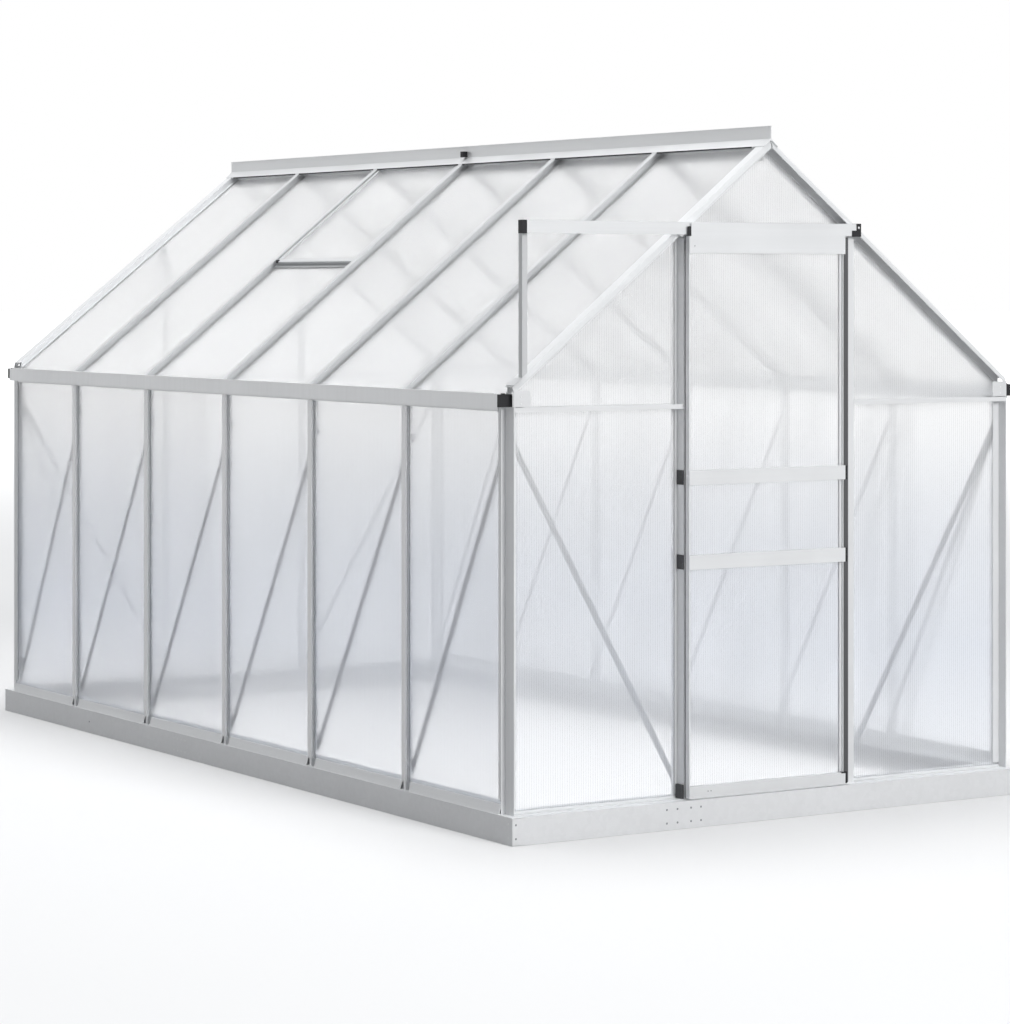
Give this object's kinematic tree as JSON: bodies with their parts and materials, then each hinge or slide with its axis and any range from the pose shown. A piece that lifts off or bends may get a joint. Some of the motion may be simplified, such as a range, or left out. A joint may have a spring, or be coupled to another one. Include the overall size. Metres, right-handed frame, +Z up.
{
  "type": "walk-in greenhouse",
  "caption": "Gabled greenhouse of aluminium bars and milky twin-wall sheets on a folded steel base, with a sliding door and a roof window.",
  "frame": {"origin": "on the ground, at the middle of the base's plan", "axes": "+X to the right of someone who looks at the door, +Y from the front gable to the rear one along the ridge, +Z up"},
  "size_m": [1.958, 3.712, 2.145],
  "materials": {
    "aluminium": "mill finish, satin",
    "galvanised": "galvanised sheet, dull",
    "twin_wall": "milky twin-wall polycarbonate with fine upright flutes",
    "black_plastic": "moulded, slightly grained"
  },
  "bodies": {
    "house": {"base_sides": "galvanised", "base_ends": "galvanised", "base_joint_plates": "galvanised", "sill_front": "aluminium", "sill_rear": "aluminium", "sill_left": "aluminium", "sill_right": "aluminium", "corner_posts_front": "aluminium", "corner_posts_rear": "aluminium", "door_posts": "aluminium", "rear_posts": "aluminium", "left_studs": "aluminium", "right_studs": "aluminium", "gutter_left": "aluminium", "gutter_right": "aluminium", "gutter_caps": "black_plastic", "gable_rafters_front": "aluminium", "gable_rafters_rear": "aluminium", "gable_bars_front": "aluminium", "gable_bars_rear": "aluminium", "door_lintel": "aluminium", "roof_bars_left": "aluminium", "roof_bars_right": "aluminium", "ridge_beam": "aluminium", "vent_frame": "aluminium", "vent_pane": "twin_wall", "vent_crossbar": "aluminium", "vent_hinge_cap": "black_plastic", "wall_panes_left": "twin_wall", "wall_panes_right": "twin_wall", "roof_panes_left": "twin_wall", "roof_panes_right": "twin_wall", "gable_panes_front": "twin_wall", "gable_panes_rear": "twin_wall", "side_braces": "galvanised", "gable_braces": "galvanised", "door_track": "aluminium", "track_end_caps": "black_plastic", "track_strut": "aluminium", "door_guides": "black_plastic"},
    "door": {"door_stiles": "aluminium", "door_header": "aluminium", "door_rails": "aluminium", "door_panes": "twin_wall", "door_rollers": "black_plastic", "door_rail_caps": "black_plastic", "door_seals": "black_plastic"}
  },
  "joints": [
    {"name": "door_slide", "type": "slide", "parent": "house", "child": "door", "axis": [-1, 0, 0], "range_m": [0, 0.57]}
  ]
}
